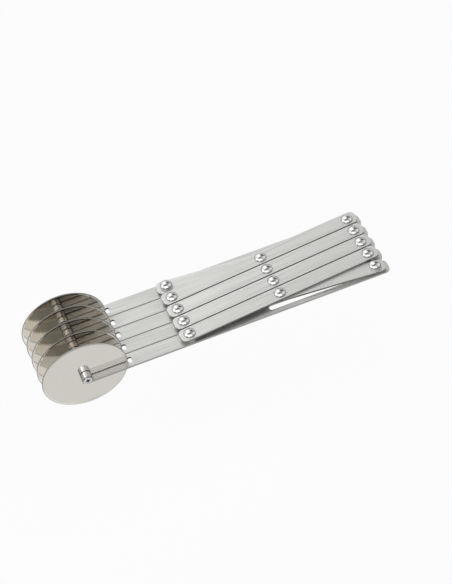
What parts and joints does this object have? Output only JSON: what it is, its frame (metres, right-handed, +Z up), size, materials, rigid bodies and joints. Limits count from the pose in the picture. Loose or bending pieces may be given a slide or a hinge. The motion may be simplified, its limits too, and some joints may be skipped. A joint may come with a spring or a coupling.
{
  "type": "expandable dough cutter",
  "caption": "Hand-held dough cutter: thin round blades in a row on flat steel arms, drawn apart to an even spacing by a riveted lattice of links.",
  "frame": {"origin": "middle of the closed cutter's length and width, on the plane its wheels stand on", "axes": "+X along the arms towards the hand, +Y across the arms towards arm 1, +Z up"},
  "size_m": [0.231, 0.054, 0.055],
  "materials": {
    "brushed_strip": "satin, brushed lengthwise",
    "polished_wheel": "polished, faint turning marks",
    "bright_fastener": "polished"
  },
  "bodies": {
    "arm_1": {"arm_1": "brushed_strip", "axle_screw_1": "bright_fastener", "front_rivet_1": "bright_fastener", "front_washer_1": "bright_fastener", "front_head_spacer": "bright_fastener"},
    "wheel_1": {"wheel_1": "polished_wheel", "wheel_hub_1": "bright_fastener"},
    "arm_2": {"arm_2": "brushed_strip", "axle_screw_2": "bright_fastener", "front_rivet_2": "bright_fastener", "front_washer_2": "bright_fastener"},
    "wheel_2": {"wheel_2": "polished_wheel", "wheel_hub_2": "bright_fastener"},
    "arm_3": {"arm_3": "brushed_strip", "axle_screw_3": "bright_fastener", "front_rivet_3": "bright_fastener", "front_washer_3": "bright_fastener"},
    "wheel_3": {"wheel_3": "polished_wheel", "wheel_hub_3": "bright_fastener"},
    "arm_4": {"arm_4": "brushed_strip", "axle_screw_4": "bright_fastener", "front_rivet_4": "bright_fastener", "front_washer_4": "bright_fastener"},
    "wheel_4": {"wheel_4": "polished_wheel", "wheel_hub_4": "bright_fastener"},
    "arm_5": {"arm_5": "brushed_strip", "axle_screw_5": "bright_fastener", "front_rivet_5": "bright_fastener", "front_washer_5": "bright_fastener", "front_link_spacer": "bright_fastener"},
    "wheel_5": {"wheel_5": "polished_wheel", "wheel_hub_5": "bright_fastener"},
    "lower_link_1": {"lower_link_1": "brushed_strip", "middle_rivet_1": "bright_fastener", "rear_rivet_2": "bright_fastener", "rear_washer_2": "bright_fastener"},
    "upper_link_1": {"upper_link_1": "brushed_strip", "rear_rivet_1": "bright_fastener", "rear_washer_1": "bright_fastener", "rear_link_spacer": "bright_fastener"},
    "lower_link_2": {"lower_link_2": "brushed_strip", "middle_rivet_2": "bright_fastener", "rear_rivet_3": "bright_fastener", "rear_washer_3": "bright_fastener"},
    "upper_link_2": {"upper_link_2": "brushed_strip"},
    "lower_link_3": {"lower_link_3": "brushed_strip", "middle_rivet_3": "bright_fastener", "rear_rivet_4": "bright_fastener", "rear_washer_4": "bright_fastener"},
    "upper_link_3": {"upper_link_3": "brushed_strip"},
    "lower_link_4": {"lower_link_4": "brushed_strip", "middle_rivet_4": "bright_fastener", "rear_rivet_5": "bright_fastener", "rear_washer_5": "bright_fastener", "rear_head_spacer": "bright_fastener"},
    "upper_link_4": {"upper_link_4": "brushed_strip"}
  },
  "joints": [
    {"name": "lattice_fold", "type": "hinge", "parent": "arm_3", "child": "upper_link_2", "pos_m": [-0.01902, 0.0003, 0.0249], "axis": [0, 0, 1], "range_deg": [0, 59.08]},
    {"name": "middle_pivot_2", "type": "hinge", "parent": "upper_link_2", "child": "lower_link_2", "pos_m": [0.04375, 0.0057, 0.0249], "axis": [0, 0, 1], "range_deg": [-118.16, 0]},
    {"name": "front_pivot_2_lower", "type": "hinge", "parent": "lower_link_2", "child": "arm_2", "pos_m": [-0.01902, 0.0111, 0.0249], "axis": [0, 0, 1], "range_deg": [0, 59.08]},
    {"name": "front_pivot_2_upper", "type": "hinge", "parent": "arm_2", "child": "upper_link_1", "pos_m": [-0.01902, 0.0111, 0.0249], "axis": [0, 0, 1], "range_deg": [0, 59.08]},
    {"name": "middle_pivot_1", "type": "hinge", "parent": "upper_link_1", "child": "lower_link_1", "pos_m": [0.04375, 0.0165, 0.0249], "axis": [0, 0, 1], "range_deg": [-118.16, 0]},
    {"name": "front_pivot_1_lower", "type": "hinge", "parent": "lower_link_1", "child": "arm_1", "pos_m": [-0.01902, 0.0219, 0.0249], "axis": [0, 0, 1], "range_deg": [0, 59.08]},
    {"name": "front_pivot_3_lower", "type": "hinge", "parent": "arm_3", "child": "lower_link_3", "pos_m": [-0.01902, 0.0003, 0.0249], "axis": [0, 0, 1], "range_deg": [-59.08, 0]},
    {"name": "middle_pivot_3", "type": "hinge", "parent": "lower_link_3", "child": "upper_link_3", "pos_m": [0.04375, -0.0051, 0.0249], "axis": [0, 0, 1], "range_deg": [0, 118.16]},
    {"name": "front_pivot_4_upper", "type": "hinge", "parent": "upper_link_3", "child": "arm_4", "pos_m": [-0.01902, -0.0105, 0.0249], "axis": [0, 0, 1], "range_deg": [-59.08, 0]},
    {"name": "front_pivot_4_lower", "type": "hinge", "parent": "arm_4", "child": "lower_link_4", "pos_m": [-0.01902, -0.0105, 0.0249], "axis": [0, 0, 1], "range_deg": [-59.08, 0]},
    {"name": "middle_pivot_4", "type": "hinge", "parent": "lower_link_4", "child": "upper_link_4", "pos_m": [0.04375, -0.0159, 0.0249], "axis": [0, 0, 1], "range_deg": [0, 118.16]},
    {"name": "front_pivot_5_upper", "type": "hinge", "parent": "upper_link_4", "child": "arm_5", "pos_m": [-0.01902, -0.0213, 0.0249], "axis": [0, 0, 1], "range_deg": [-59.08, 0]},
    {"name": "wheel_1_spin", "type": "hinge", "parent": "arm_1", "child": "wheel_1", "pos_m": [-0.08802, 0.0219, 0.0275], "axis": [0, 1, 0], "continuous": true},
    {"name": "wheel_2_spin", "type": "hinge", "parent": "arm_2", "child": "wheel_2", "pos_m": [-0.08802, 0.0111, 0.0275], "axis": [0, 1, 0], "continuous": true},
    {"name": "wheel_3_spin", "type": "hinge", "parent": "arm_3", "child": "wheel_3", "pos_m": [-0.08802, 0.0003, 0.0275], "axis": [0, 1, 0], "continuous": true},
    {"name": "wheel_4_spin", "type": "hinge", "parent": "arm_4", "child": "wheel_4", "pos_m": [-0.08802, -0.0105, 0.0275], "axis": [0, 1, 0], "continuous": true},
    {"name": "wheel_5_spin", "type": "hinge", "parent": "arm_5", "child": "wheel_5", "pos_m": [-0.08802, -0.0213, 0.0275], "axis": [0, 1, 0], "continuous": true}
  ],
  "couplings": [
    {"joint": "middle_pivot_2", "follows": "lattice_fold", "ratio": -2},
    {"joint": "front_pivot_2_lower", "follows": "lattice_fold", "ratio": 1},
    {"joint": "front_pivot_2_upper", "follows": "lattice_fold", "ratio": 1},
    {"joint": "middle_pivot_1", "follows": "lattice_fold", "ratio": -2},
    {"joint": "front_pivot_1_lower", "follows": "lattice_fold", "ratio": 1},
    {"joint": "front_pivot_3_lower", "follows": "lattice_fold", "ratio": -1},
    {"joint": "middle_pivot_3", "follows": "lattice_fold", "ratio": 2},
    {"joint": "front_pivot_4_upper", "follows": "lattice_fold", "ratio": -1},
    {"joint": "front_pivot_4_lower", "follows": "lattice_fold", "ratio": -1},
    {"joint": "middle_pivot_4", "follows": "lattice_fold", "ratio": 2},
    {"joint": "front_pivot_5_upper", "follows": "lattice_fold", "ratio": -1}
  ]
}
